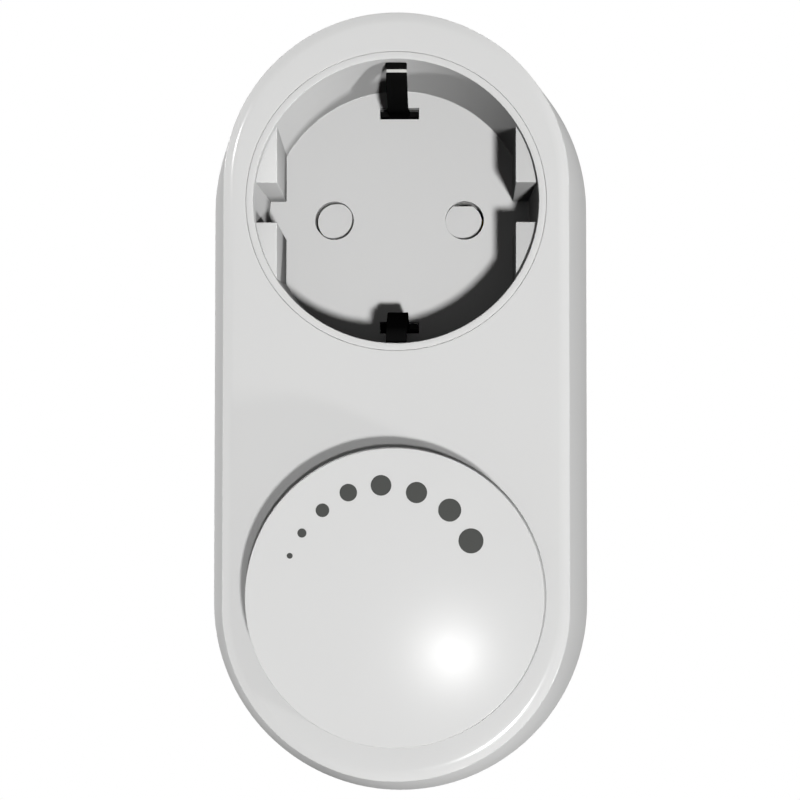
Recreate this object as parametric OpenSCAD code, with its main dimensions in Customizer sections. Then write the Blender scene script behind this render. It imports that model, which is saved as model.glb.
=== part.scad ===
// Plug-in dimmer: an earthed socket above a large brightness knob, in one housing that
// plugs straight into a wall socket. Every piece is drawn lying on the plug's pins with the
// front up, so x runs to the right, y up the front, and z from the plug's mating face out to
// the knob. stand_up() then turns the part upright, with its front along -Y and its pins
// along +Y. The origin is the centre of the plug's mating face.

/* [Housing] */
// Width of the housing at the joint between its two shells
body_w = 55.2; // [54:0.2:62]
// Height of the housing at the joint between its two shells
body_h = 113.4; // [110:0.2:124]
// Depth of the front shell, from its face to the joint
front_depth = 23.6; // [22:0.2:30]
// Depth of the rear shell, from the joint to its back
rear_depth = 12; // [11:0.5:18]
// How far each side of the front shell leans in between the joint and the face
front_taper = 3.85; // [2.5:0.05:4.4]
// How far each side of the rear shell leans in between the joint and the back
rear_taper = 1.2; // [0.5:0.1:2.5]
// Width of the band along the front edge in which the face rolls off
front_roll_w = 2.4; // [1.6:0.1:2.6]
// How far the face drops over that band before it meets the side
front_roll_drop = 0.45; // [0.2:0.05:0.8]
// Rounding of the rear edge
rear_edge_r = 1.6; // [0.6:0.1:2]
// Thickness of the shells' walls
wall = 2.2; // [1.6:0.1:2.5]
// Height of the rear shell's tongue inside the front shell
tongue_h = 2; // [1:0.1:3]
// Thickness of that tongue
tongue_t = 1.1; // [0.8:0.1:1.4]
// Distance from the socket's axis up to the centre of the housing's top arc
socket_drop = 2.4; // [1.5:0.1:4]

/* [Socket] */
// Radius of the recess at its mouth
recess_r = 19.66; // [19.3:0.02:19.9]
// Radius of the recess at its floor
recess_floor_r = 19; // [18.6:0.05:19.2]
// Depth of the recess
recess_depth = 17.5; // [16.5:0.1:18]
// Width of the rim around the mouth
rim_w = 1; // [0.8:0.05:1.2]
// Thickness of the recess's floor
floor_t = 1.4; // [1:0.1:2]
// Distance from the centre to the flat sides of the guide ribs
rib_flat = 16.5; // [16:0.1:17]
// Height of the notch between the two ribs of a side
rib_notch = 5.5; // [4.6:0.1:6.5]
// How far the ribs start below the rim
rib_drop = 1.4; // [0.8:0.1:4]
// Distance between the two pin holes
pin_pitch = 19; // [18.8:0.1:19.2]
// Radius of the pin holes
pin_hole_r = 2.8; // [2.6:0.05:3]
// Thickness of the flange behind the front shell
flange_t = 1.2; // [0.8:0.1:2]
// Reach of the flange past the cup's side, above and below
flange_reach = 1.9; // [1.2:0.1:2.4]

/* [Shutter] */
// Thickness of the shutter
shutter_t = 2; // [1.5:0.1:2.5]
// Radius of the pads that close the pin holes
pad_r = 2.65; // [2.5:0.05:2.75]
// Distance from the live pad's centre to its straight opening edge
pad_flat = 2.3; // [2:0.05:2.5]
// The same for the neutral pad
neutral_pad_flat = 2.5; // [2:0.05:2.5]
// How far the pads' centres lie inside the pin holes' centres
pad_shift = 0.15; // [0:0.05:0.2]
// Radius of the post that the shutter turns on
post_r = 2.1; // [1.6:0.1:2.6]
// Radius of the shutter's hub
hub_r = 4.8; // [4.4:0.1:5.4]
// Mean radius of the return spring's coil
spring_r = 3.6; // [3.2:0.1:4]
// Radius of the spring's wire
spring_wire_r = 0.22; // [0.15:0.01:0.3]
// Turns in the spring's coil
spring_turns = 2.25; // [1.25:1:2.25]

/* [Contact carrier] */
// Thickness of the carrier's plate
carrier_t = 2.6; // [2.4:0.1:3.4]
// Width of the carrier's edge wall
carrier_edge = 1.5; // [1:0.1:2]
// Width of each contact's well, inside
well_w = 6.6; // [6:0.1:6.8]
// Height of each contact's well, inside
well_h = 9.2; // [8.6:0.1:9.6]
// Thickness of a well's walls
well_wall = 0.9; // [0.7:0.1:1]
// Thickness of the sheet metal in contacts and earth strips
sheet_t = 0.8; // [0.6:0.05:0.9]
// Thickness of the contacts' spring leaves
leaf_t = 0.6; // [0.4:0.05:0.8]

/* [Earth strips] */
// Distance from the axis to the middle of each strip's straight run
strip_y = 15.6; // [15.4:0.05:15.8]
// Width of the strip where it lies in the housing and on the plug
strip_w = 5.5; // [4.5:0.1:5.6]
// Width of the spring clip inside the recess
clip_w = 2.9; // [2.4:0.1:3.6]
// Distance from the axis to the middle of the clip at its innermost bend
clip_bulge_y = 14.6; // [14.2:0.1:15]
// Depth of that bend below the rim
clip_bulge_depth = 9.4; // [8:0.1:11]
// Distance from the axis to the middle of the clip at its lead-in bend
clip_lead_y = 18.1; // [17.6:0.1:18.4]
// Depth of the lead-in bend below the rim
clip_lead_depth = 1.5; // [1.2:0.1:2.4]
// Distance from the axis to the middle of the clip's tip
clip_tip_y = 19.4; // [19.2:0.05:19.45]
// Depth of the clip's tip below the rim
clip_tip_depth = 1.8; // [1.5:0.1:2.4]

/* [Plug] */
// Length of the plug, from the housing's back to the mating face
plug_len = 17; // [16.5:0.1:18]
// Radius of the plug
plug_r = 18.3; // [17.9:0.05:18.5]
// Distance from the centre to the plug's flat sides
plug_flat = 16.1; // [15.8:0.05:16.3]
// Height of the key on each flat side
plug_key = 4.8; // [4:0.1:5]
// Thickness of the plug's end wall
plug_end_t = 3; // [2.4:0.1:4]
// Thickness of the plug's side walls
plug_wall = 1.7; // [1.4:0.1:2]
// Radius of the plug's pins
pin_r = 2.4; // [2.3:0.05:2.4]
// Length of the plug's pins past the mating face
pin_len = 19; // [18.5:0.1:19.5]
// Radius of each pin's shank, where the end wall is moulded round it
pin_shank_r = 2; // [1.8:0.05:2.1]
// Radius of each pin's flange, behind the end wall
pin_flange_r = 3.5; // [3:0.1:4]
// Thickness of that flange
pin_flange_t = 1.2; // [0.8:0.1:1.6]
// Radius of each pin's tail
pin_tail_r = 1.5; // [1.2:0.1:1.8]
// Length of the live pin's tail
live_tail_len = 4; // [3:0.1:5]

/* [Knob] */
// Distance from the socket's axis down to the knob's axis
knob_pitch = 54.4; // [54:0.1:58]
// Radius of the knob's face
knob_face_r = 20.06; // [17:0.02:20.5]
// Radius of the knob at its base
knob_base_r = 20.54; // [18:0.02:21.2]
// How far the knob stands out from the housing's face
knob_rise = 5.6; // [5:0.1:9]
// Gap under the knob's skirt
knob_gap = 0.5; // [0.3:0.05:1]
// Rounding of the knob's face edge
knob_edge_r = 0.3; // [0.2:0.05:0.8]
// Thickness of the knob's skirt and face
knob_wall = 1.6; // [1.2:0.1:2.2]
// Radius of the knob's hub
knob_hub_r = 5.5; // [5:0.1:6.5]
// Number of stiffening ribs under the knob's face
knob_ribs = 6; // [3:1:8]
// Length of the collar that guides the hub inside the front shell
collar_len = 3; // [1.5:0.1:3.5]
// Thickness of that collar
collar_t = 1.6; // [1:0.1:2.4]

/* [Potentiometer] */
// Radius of the potentiometer's body
pot_r = 8.2; // [7:0.1:9]
// Thickness of the potentiometer's body
pot_t = 6.6; // [5.5:0.1:7]
// Radius of the potentiometer's bush
pot_bush_r = 3.9; // [3.6:0.1:4.4]
// Length of the potentiometer's bush
pot_bush_len = 2; // [1.5:0.1:2.4]
// Radius of the shaft
shaft_r = 3; // [2.5:0.05:3.2]
// Distance from the shaft's axis to its driving flat
shaft_flat = 1.6; // [1:0.1:2.2]

/* [Circuit board] */
// Thickness of the board
board_t = 1.6; // [1:0.1:2]
// Distance from the front shell's face to the board's front side
board_depth = 17.4; // [16.8:0.1:18]
// Gap between the board's edge and the shell
board_gap = 1; // [0.5:0.1:1.5]
// Outer radius of the choke
choke_r = 7.4; // [6:0.1:7.6]
// Radius of the choke's hole
choke_hole_r = 2.8; // [2.2:0.1:3.4]
// Height of the choke
choke_h = 8; // [6:0.1:10]
// Length, width and height of the film capacitor
film_cap = [15, 6.5, 11]; // [5:0.5:16]
// Radius of the filter capacitor
can_r = 3.2; // [2.5:0.1:3.3]
// Height of the filter capacitor
can_h = 11; // [8:0.1:12]
// Radius of the fuse
fuse_r = 2.5; // [2:0.1:2.8]
// Length of the fuse
fuse_len = 18; // [15:0.5:19]
// Length of the fuse's end caps
fuse_cap_len = 5; // [3:0.5:6]
// Width, thickness and height of the transistor's moulding
transistor_size = [10, 4.4, 9]; // [4:0.2:10.4]
// Thickness of the metal in the fuse's clips
clip_t = 0.4; // [0.3:0.05:0.6]
// Thickness of the transistor's metal tab
tab_t = 1.2; // [0.8:0.1:1.5]
// Width of the heat sink
sink_w = 14; // [11:0.5:14.5]
// Height of the heat sink
sink_h = 11.5; // [9:0.1:12]
// Thickness of the heat sink's plate
sink_t = 1.6; // [1.2:0.1:2]
// Reach of the heat sink's fins
fin_reach = 3.4; // [2:0.1:3.8]
// Number of fins on the heat sink
fin_count = 5; // [3:1:6]
// Radius of the insulated wires
wire_r = 1; // [0.7:0.05:1.1]

/* [Screws] */
// Distance of the upper case screws from the front shell's inner side at the joint
upper_screw_inset = 6.37; // [6:0.01:7.4]
// Distance of the upper case screws below the socket's axis
upper_screw_drop = 27.4; // [27:0.1:29]
// Distance of the lower case screws from the front shell's inner side at the joint
lower_screw_inset = 6.77; // [6.4:0.01:7.4]
// Radius of the case screws' shanks
screw_r = 1.4; // [1.2:0.05:1.5]
// Radius of the case screws' heads
screw_head_r = 2.6; // [2.3:0.05:2.7]
// Height of the case screws' heads
screw_head_h = 2; // [1.5:0.1:2.4]
// Engagement of the case screws in the front shell
screw_bite = 8; // [6:0.5:9]
// Radius of the front shell's screw bosses
boss_r = 3; // [2.6:0.1:3.2]
// Distance of the board screws from the board's straight side
board_screw_inset = 3.86; // [3.4:0.02:4.4]
// Distance of the upper board screws below the board's top edge
board_screw_drop = 2.4; // [2:0.1:3]
// Distance of the lower board screws below the centre of the housing's lower arc
board_screw_low = 7; // [6:0.5:8]
// Radius of the board screws' shanks
board_screw_r = 1; // [0.8:0.05:1.1]

/* [Clearances] */
// Gap round a turning piece
run_gap = 0.1; // [0.06:0.01:0.15]
// Gap round a fitted piece that stays still
fit_gap = 0.1; // [0.05:0.01:0.2]
// Gap round the socket's rim, which shows as a fine line
rim_gap = 0.15; // [0.1:0.01:0.25]
// Play of the shutter between the cup's floor and the carrier
shutter_play = 0.2; // [0.15:0.01:0.3]

/* [Hidden] */
$fn = 96;
arc_steps = 12;
roll_steps = 6;
inner_edge_r = 0.4;
overlap = 0.5;
cut = 1;

// Levels, from the plug's mating face to the front
back_z = plug_len;
joint_z = back_z + rear_depth;
face_z = joint_z + front_depth;
floor_z = face_z - recess_depth;
floor_back_z = floor_z - floor_t;
shutter_top_z = floor_back_z - shutter_play;
shutter_low_z = shutter_top_z - shutter_t;
carrier_top_z = shutter_low_z - shutter_play;
carrier_low_z = carrier_top_z - carrier_t;
pin_end_z = floor_z - pin_len;
contact_room = 0.7;
contact_gap = 0.2;
contact_top_z = pin_end_z - contact_room;
contact_low_z = contact_top_z - sheet_t;
board_top_z = face_z - board_depth;
board_low_z = board_top_z - board_t;
inner_back_z = back_z + wall;
inner_face_z = face_z - wall;

// The housing's spine runs between the centres of its two arcs
body_r = body_w / 2;
spine = body_h - body_w;
top_y = socket_drop;
bottom_y = top_y - spine;
knob_y = -knob_pitch;
front_lean = atan(front_taper / front_depth);
rear_lean = atan(rear_taper / rear_depth);
function shell_inner_r(z) = body_r - wall / cos(front_lean) - (z - joint_z) * tan(front_lean);

// Socket, shutter and carrier
pin_x = pin_pitch / 2;
cup_r = recess_r + rim_w;
flange_trim = 0.5;
flange_half_w = cup_r - flange_trim;
rib_half_notch = rib_notch / 2;
carrier_r = recess_floor_r - fit_gap;
pocket_room = 0.6;
pocket_r = hub_r + pocket_room;
pocket_depth = carrier_t - pocket_room;
pocket_z = carrier_top_z - pocket_depth;
spring_pitch = (pocket_depth - 4 * spring_wire_r) / spring_turns;
spring_low_z = pocket_z + spring_wire_r + fit_gap;
spring_leg = 1.1;
spring_hole_r = spring_wire_r * 2;

// Earth strips and the slots that they pass through
strip_in_y = strip_y - sheet_t / 2;
strip_out_y = strip_y + sheet_t / 2;
strip_end_z = 0.6;
slot_w = strip_w + 2 * fit_gap;
clip_slot_in_gap = 0.35;
clip_slot_out_gap = 0.55;
clip_slot_in = strip_in_y - clip_slot_in_gap;
clip_slot_out = strip_out_y + clip_slot_out_gap;
bridge_w = 5;
bridge_tab = 4;

// Plug
groove_gap = 0.4;
groove_w = strip_w + 2 * groove_gap;
hollow_x = plug_flat - plug_wall;
hollow_y = strip_in_y - plug_wall;
hollow_r = plug_r - plug_wall;
pillar_r = 1.3;
pillar_inset = 2.9;
pillar_x = pin_x - pillar_inset;
pillar_y = 4;
clamp_pillar_r = 1.5;
clamp_pillar_angle = 32;
clamp_pillar_reach = carrier_r - clamp_pillar_r;
clamp_pillar_x = clamp_pillar_reach * cos(clamp_pillar_angle);
clamp_pillar_y = clamp_pillar_reach * sin(clamp_pillar_angle);

// Knob and potentiometer
knob_top_z = face_z + knob_rise;
knob_low_z = face_z + knob_gap;
knob_roof_z = knob_top_z - knob_wall;
knob_hole_r = knob_hub_r + run_gap;
collar_z = inner_face_z - collar_len;
pot_top_z = board_top_z + pot_t;
bush_top_z = pot_top_z + pot_bush_len;
hub_gap = 0.5;
hub_low_z = bush_top_z + hub_gap;
shaft_sink = 2.4;
shaft_low_z = pot_top_z - shaft_sink;
shaft_end_gap = 0.2;
shaft_cover = 0.4;
shaft_top_z = knob_roof_z - shaft_cover;
knob_grip_gap = 0.03;
shaft_flat_len = shaft_top_z - hub_low_z;

// Board and screws
board_r = shell_inner_r(board_top_z) - board_gap;
board_boss_gap = 0.4;
board_top_gap = 1.6;
board_top_y = -upper_screw_drop - boss_r - board_top_gap;
upper_screw_x = shell_inner_r(joint_z) - upper_screw_inset;
lower_screw = (shell_inner_r(joint_z) - lower_screw_inset) / sqrt(2);
board_screw_x = board_r - board_screw_inset;
case_screws_at = [
    [-upper_screw_x, -upper_screw_drop],
    [upper_screw_x, -upper_screw_drop],
    [-lower_screw, bottom_y - lower_screw],
    [lower_screw, bottom_y - lower_screw]
];
board_screws_at = [
    [-board_screw_x, board_top_y - board_screw_drop],
    [board_screw_x, board_top_y - board_screw_drop],
    [-board_screw_x, bottom_y - board_screw_low],
    [board_screw_x, bottom_y - board_screw_low]
];
head_seat = 4.6;
head_seat_z = joint_z - head_seat;
head_well_gap = 0.3;
head_well_wall = 1;
head_well_r = screw_head_r + head_well_gap;
screw_top_z = joint_z + screw_bite;
screw_end_room = 1;
board_post_r = 2.2;
board_head_r = 2;
board_head_h = 1.3;
board_bite = 6;

// Places on the back of the board, from its sides and from the centre of its arc
choke_inset = 2.8;
choke_up = 3;
choke_at = [choke_inset + choke_r - board_r, bottom_y + choke_up];
film_cap_inset = 6.1;
film_cap_up = 6.7;
film_cap_at = [board_r - film_cap_inset - film_cap.x / 2, bottom_y + film_cap_up];
fuse_inset = 4.6;
fuse_up = 0.3;
fuse_at = [board_r - fuse_inset - fuse_len / 2, bottom_y + fuse_up];
fuse_z = board_low_z - clip_t - fuse_r;
fuse_clip_gap = 1.4;
fuse_clip_len = fuse_cap_len - fuse_clip_gap;
fuse_clip_past = 1.2;
can_x = 1.5;
can_neck = 0.35;
can_ease = 0.4;
can_neck_at = 1.2;
can_down = 6.2;
can_at = [can_x, bottom_y - can_down];
sink_inset = 6.2;
sink_at = [0, bottom_y - board_r + sink_inset];
leads_len = 1.4;
leads_z = board_low_z - leads_len;
lead_pitch = 2.54;

// Wires, from the pin's tail and the contact's tag to the top of the board
live_pad_out = 1.1;
load_pad_in = 3.1;
pad_inset = 1.4;
live_pad = [pin_x + live_pad_out, board_top_y - pad_inset];
load_pad = [pin_x - load_pad_in, board_top_y - pad_inset];
wire_bend = 2.4;
wire_bend_steps = 3;
wire_rise = 4;
wire_gap = 0.6;
live_tail_z = plug_end_t + pin_flange_t + live_tail_len;
live_bend_y = -well_h / 2 - well_wall - wire_r - wire_gap;
tag_len = 3;
tag_wire_inset = 1;
tag_wire_y = -well_h / 2 - well_wall - tag_len + tag_wire_inset;

shell_white = [0.86, 0.86, 0.86];
socket_white = [0.84, 0.84, 0.84];
carrier_grey = [0.35, 0.36, 0.38];
earth_metal = [0.13, 0.13, 0.13];
nickel = [0.75, 0.75, 0.72];
brass = [0.78, 0.64, 0.3];
steel = [0.6, 0.61, 0.63];
aluminium = [0.7, 0.71, 0.72];
board_green = [0.1, 0.36, 0.2];
moulding_black = [0.09, 0.09, 0.1];

// Turns the part from lying on its pins to standing with its front along -Y
module stand_up() {
    rotate([90, 0, 0]) children();
}

module at_each(places) {
    for (p = places) translate([p.x, p.y, 0]) children();
}

// A post or hole between two levels
module rod(r, low, high) {
    translate([0, 0, low]) cylinder(r = r, h = high - low);
}

// A block centred in x and y, between two levels
module block(w, h, low, high) {
    translate([-w / 2, -h / 2, low]) cube([w, h, high - low]);
}

// Half the outline of a shell: from its axis, round the edge and down the leaning side
function half_outline(joint_r, from_z, face_r, to_z, edge_r) =
    let (s = to_z > from_z ? 1 : -1,
        lean = atan((joint_r - face_r) / abs(to_z - from_z)),
        reach = joint_r * cos(lean) + s * from_z * sin(lean),
        mid_z = s * to_z - edge_r,
        mid_r = (reach - edge_r - mid_z * sin(lean)) / cos(lean))
    concat([[0, to_z]],
        [for (i = [0 : arc_steps]) let (a = 90 - (90 - lean) * i / arc_steps)
            [mid_r + edge_r * cos(a), s * (mid_z + edge_r * sin(a))]],
        [[joint_r, from_z]]);

// The same for the front shell: the face rolls off in a shallow arc that meets the side in an edge
function rolled_outline(joint_r, from_z, face_r, to_z) =
    let (end_r = face_r + front_roll_drop * (joint_r - face_r) / (to_z - from_z),
        bow = (front_roll_w * front_roll_w + front_roll_drop * front_roll_drop) / (2 * front_roll_drop),
        turn = asin(front_roll_w / bow))
    concat([[0, to_z]],
        [for (i = [0 : roll_steps]) let (a = turn * i / roll_steps)
            [end_r - front_roll_w + bow * sin(a), to_z - bow * (1 - cos(a))]],
        [[joint_r, from_z]]);

function reversed(points) = [for (i = [len(points) - 1 : -1 : 0]) points[i]];

// The closed outline of one shell's wall, from the outline of its outside
function shell_outline(outside, lean, to_z) =
    let (s = to_z > joint_z ? 1 : -1,
        depth = abs(to_z - joint_z),
        inner_r = body_r - wall / cos(lean))
    concat(outside, reversed(half_outline(inner_r, joint_z, inner_r - (depth - wall) * tan(lean),
        to_z - s * wall, inner_edge_r)));

// Takes an outline round both arcs of the housing and along its straight sides
module round_housing(outline) {
    translate([0, top_y, 0]) rotate_extrude(angle = 180) polygon(outline);
    translate([0, bottom_y, 0]) rotate([0, 0, 180]) rotate_extrude(angle = 180) polygon(outline);
    translate([0, top_y, 0]) rotate([90, 0, 0]) linear_extrude(spine) {
        polygon(outline);
        mirror([1, 0]) polygon(outline);
    }
}

function unit(v) = v / norm(v);

// A path with each inner corner eased over the given reach
function eased(points, reach, steps = 6) =
    concat([points[0]],
        [for (i = [1 : len(points) - 2]) let (b = points[i],
            p = b + reach * unit(points[i - 1] - b),
            q = b + reach * unit(points[i + 1] - b))
            for (k = [0 : steps]) let (s = k / steps)
                (1 - s) * (1 - s) * p + 2 * s * (1 - s) * b + s * s * q],
        [points[len(points) - 1]]);

// The outline of a strip of sheet metal along a path
function ribbon(path, t) =
    let (last = len(path) - 1,
        sides = [for (i = [0 : last]) let (
            along = unit(unit(path[min(i + 1, last)] - path[max(i - 1, 0)])))
            [-along.y, along.x] * t / 2])
    concat([for (i = [0 : last]) path[i] + sides[i]],
        reversed([for (i = [0 : last]) path[i] - sides[i]]));

// A strip bent in the y-z plane, centred on x = 0
module bent_strip(path, t, w) {
    translate([-w / 2, 0, 0]) rotate([90, 0, 90]) linear_extrude(w) polygon(ribbon(path, t));
}

// The socket cup's flange, or with a gap round it the room that it needs
module flange_plan(gap, low, high) {
    intersection() {
        rod(cup_r + flange_reach + gap, low, high);
        block(2 * (flange_half_w + gap), 2 * (cup_r + flange_reach + gap), low, high);
    }
}

// Front shell: leaning sides, round front edge, openings for the socket and the knob's hub,
// bosses for the case screws and posts for the board
module front_cover() {
    color(shell_white) stand_up() difference() {
        union() {
            round_housing(shell_outline(rolled_outline(body_r, joint_z, body_r - front_taper, face_z),
                front_lean, face_z));
            at_each(case_screws_at) rod(boss_r, joint_z, inner_face_z + overlap);
            at_each(board_screws_at) rod(board_post_r, board_top_z, inner_face_z + overlap);
            translate([0, knob_y, 0]) rod(knob_hole_r + collar_t, collar_z, inner_face_z + overlap);
        }
        rod(cup_r + rim_gap, joint_z - cut, face_z + cut);
        flange_plan(fit_gap, joint_z - cut, inner_face_z);
        translate([0, knob_y, 0]) rod(knob_hole_r, collar_z - cut, face_z + cut);
        at_each(case_screws_at) rod(screw_r + fit_gap, joint_z - cut, screw_top_z + screw_end_room);
        at_each(board_screws_at)
            rod(board_screw_r + fit_gap, board_top_z - cut, board_top_z + board_bite + screw_end_room);
    }
}

// The tongue of the rear shell, which slides inside the front shell's edge
module tongue() {
    foot_r = shell_inner_r(joint_z) - fit_gap;
    tip_r = shell_inner_r(joint_z + tongue_h) - fit_gap;
    shoulder_r = body_r - wall / 2;
    round_housing([[foot_r - tongue_t, joint_z - tongue_h], [shoulder_r, joint_z - tongue_h],
        [shoulder_r, joint_z], [foot_r, joint_z], [tip_r, joint_z + tongue_h],
        [tip_r - tongue_t, joint_z + tongue_h], [foot_r - tongue_t, joint_z]]);
}

// The plug's outside: round, with flat sides that carry a key each
module plug_body() {
    chamfer = 1;
    intersection() {
        union() {
            cylinder(r1 = plug_r - chamfer, r2 = plug_r, h = chamfer);
            rod(plug_r, chamfer, back_z + overlap);
        }
        union() {
            block(2 * plug_flat, 2 * plug_r, 0, back_z + overlap);
            block(2 * plug_r, plug_key, 0, back_z + overlap);
        }
    }
}

// The plug's hollow, open to the inside of the housing, with room for the contacts
module plug_hollow() {
    block(2 * (pin_x + well_w / 2 + well_wall + contact_gap),
        well_h + 2 * (well_wall + contact_gap), contact_low_z - contact_gap, inner_back_z + cut);
    intersection() {
        rod(hollow_r, plug_end_t, inner_back_z + cut);
        block(2 * hollow_x, 2 * hollow_y, plug_end_t, inner_back_z + cut);
    }
}

// Rear shell with the plug, the pillars that press the carrier and its contacts forward,
// and the screw wells
module rear_cover() {
    color(shell_white) stand_up() difference() {
        union() {
            difference() {
                union() {
                    round_housing(shell_outline(half_outline(body_r, joint_z, body_r - rear_taper,
                        back_z, rear_edge_r), rear_lean, back_z));
                    plug_body();
                }
                plug_hollow();
            }
            tongue();
            for (sx = [-1, 1], sy = [-1, 1]) {
                translate([sx * pillar_x, sy * pillar_y, 0])
                    rod(pillar_r, plug_end_t - overlap, contact_low_z);
                translate([sx * clamp_pillar_x, sy * clamp_pillar_y, 0])
                    rod(clamp_pillar_r, inner_back_z - overlap, carrier_low_z);
            }
            at_each(case_screws_at) rod(head_well_r + head_well_wall, inner_back_z - overlap, joint_z);
        }
        at_each(case_screws_at) {
            rod(head_well_r, back_z - cut, head_seat_z);
            rod(screw_r + fit_gap, head_seat_z - cut, joint_z + cut);
        }
        for (sx = [-1, 1]) translate([sx * pin_x, 0, 0])
            rod(pin_shank_r, -cut, plug_end_t + cut);
        for (sy = [-1, 1]) {
            translate([0, sy * (strip_in_y + plug_r) / 2, 0])
                block(groove_w, plug_r - strip_in_y + 2 * fit_gap, -cut, back_z);
            translate([0, sy * strip_y, 0])
                block(slot_w, sheet_t + 2 * fit_gap, back_z - cut, inner_back_z + cut);
        }
    }
}

// Socket cup: rim, tapered recess, guide ribs, floor with pin holes and clip slots, the
// shutter's post, and a flange that bears on the inside of the front shell
module socket_cup() {
    soft = 0.25;
    post_end_gap = 0.3;
    color(socket_white) stand_up() difference() {
        union() {
            rotate_extrude() polygon([[0, floor_back_z], [carrier_r + fit_gap, floor_back_z],
                [carrier_r + fit_gap, carrier_top_z], [cup_r, carrier_top_z],
                [cup_r, face_z - soft], [cup_r - soft, face_z], [recess_r + soft, face_z],
                [recess_r, face_z - soft], [recess_floor_r, floor_z], [0, floor_z]]);
            intersection() {
                rod(cup_r - soft, floor_z - overlap, face_z - rib_drop);
                for (sx = [-1, 1], sy = [-1, 1])
                    translate([sx > 0 ? rib_flat : -cup_r, sy > 0 ? rib_half_notch : -cup_r, 0])
                        cube([cup_r - rib_flat, cup_r - rib_half_notch, face_z]);
            }
            difference() {
                flange_plan(0, inner_face_z - flange_t, inner_face_z);
                rod(cup_r - soft, floor_z, face_z);
            }
            rod(post_r, pocket_z + post_end_gap, floor_back_z + overlap);
        }
        for (sx = [-1, 1]) translate([sx * pin_x, 0, 0])
            rod(pin_hole_r, floor_back_z - cut, floor_z + cut);
        for (sy = [-1, 1]) translate([0, sy * (clip_slot_in + clip_slot_out) / 2, 0])
            block(slot_w, clip_slot_out - clip_slot_in, floor_back_z - cut, floor_z + cut);
    }
}

// One arm of the shutter: a bar that ends in a round pad with a straight opening edge
module shutter_arm(flat) {
    pad_x = pin_x - pad_shift;
    intersection() {
        union() {
            translate([0, -pad_r]) square([pad_x, 2 * pad_r]);
            translate([pad_x, 0]) circle(r = pad_r);
        }
        translate([0, -pad_r - cut]) square([pad_x + pad_r + cut, pad_r + cut + flat]);
    }
}

// Shutter: two arms on a hub that turns on the cup's post
module shutter() {
    color(socket_white) stand_up() difference() {
        union() {
            translate([0, 0, shutter_low_z]) linear_extrude(shutter_t) {
                shutter_arm(pad_flat);
                rotate(180) shutter_arm(neutral_pad_flat);
            }
            rod(hub_r, shutter_low_z, shutter_top_z);
        }
        rod(post_r + run_gap, shutter_low_z - cut, shutter_top_z + cut);
        rotate(90) translate([spring_r, 0, 0])
            rod(spring_hole_r, shutter_low_z - cut, shutter_low_z + spring_leg + fit_gap);
    }
}

// The return spring's centre line: a leg out to the pocket's wall, the coil, and a leg
// forward into the shutter
spring_steps = 10;
spring_end_z = spring_low_z + spring_pitch * spring_turns;
function coil_point(i) =
    let (a = 90 - 360 * spring_turns + 360 * i / spring_steps)
    [spring_r * cos(a), spring_r * sin(a), spring_low_z + spring_pitch * i / spring_steps];
coil_count = spring_steps * spring_turns;
first_point = coil_point(0);
out_dir = [first_point.x, first_point.y, 0] / spring_r;
spring_path = concat(
    [first_point + out_dir * (pocket_r - spring_r - spring_wire_r - fit_gap)],
    [for (i = [0 : floor(coil_count)]) coil_point(i)],
    [[0, spring_r, spring_end_z + fit_gap], [0, spring_r, shutter_low_z + spring_leg]]);
spring_sides = 6;
wire_sides = 8;

// Rings of points square to a path
function path_along(path, i) =
    let (last = len(path) - 1)
    unit(path[min(i + 1, last)] - path[max(i - 1, 0)]);
function ring(path, i, r, sides) =
    let (along = path_along(path, i),
        side = unit(cross(along, abs(along.z) > 0.9 ? [0, 1, 0] : [0, 0, 1])),
        up = cross(side, along))
    [for (k = [0 : sides - 1])
        path[i] + r * (side * cos(360 * k / sides) + up * sin(360 * k / sides))];

module tube(path, r, sides) {
    last = len(path) - 1;
    points = [for (i = [0 : last]) each ring(path, i, r, sides)];
    walls = [for (i = [0 : last - 1], k = [0 : sides - 1])
        let (a = i * sides + k, b = i * sides + (k + 1) % sides)
        each [[a, b, b + sides], [a, b + sides, a + sides]]];
    ends = [[for (k = [sides - 1 : -1 : 0]) k], [for (k = [0 : sides - 1]) last * sides + k]];
    polyhedron(points, concat(walls, ends));
}

module shutter_spring() {
    color(steel) stand_up() tube(spring_path, spring_wire_r, spring_sides);
}

// Contact carrier: closes the shutter's chamber behind the cup and holds the contacts in wells
module contact_carrier() {
    color(carrier_grey) stand_up() difference() {
        union() {
            rotate_extrude() polygon([[0, carrier_low_z], [carrier_r, carrier_low_z],
                [carrier_r, floor_back_z], [carrier_r - carrier_edge, floor_back_z],
                [carrier_r - carrier_edge, carrier_top_z], [0, carrier_top_z]]);
            for (sx = [-1, 1]) translate([sx * pin_x, 0, 0])
                block(well_w + 2 * well_wall, well_h + 2 * well_wall,
                    contact_top_z, carrier_low_z + overlap);
        }
        for (sx = [-1, 1]) translate([sx * pin_x, 0, 0]) {
            block(well_w, well_h, contact_top_z - cut, carrier_low_z);
            rod(pin_hole_r + fit_gap, carrier_low_z - cut, carrier_top_z + cut);
        }
        rod(pocket_r, pocket_z, carrier_top_z + cut);
        for (sy = [-1, 1]) translate([0, sy * strip_y, 0])
            block(slot_w, sheet_t + 4 * fit_gap, carrier_low_z - cut, carrier_top_z + cut);
    }
}

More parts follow.
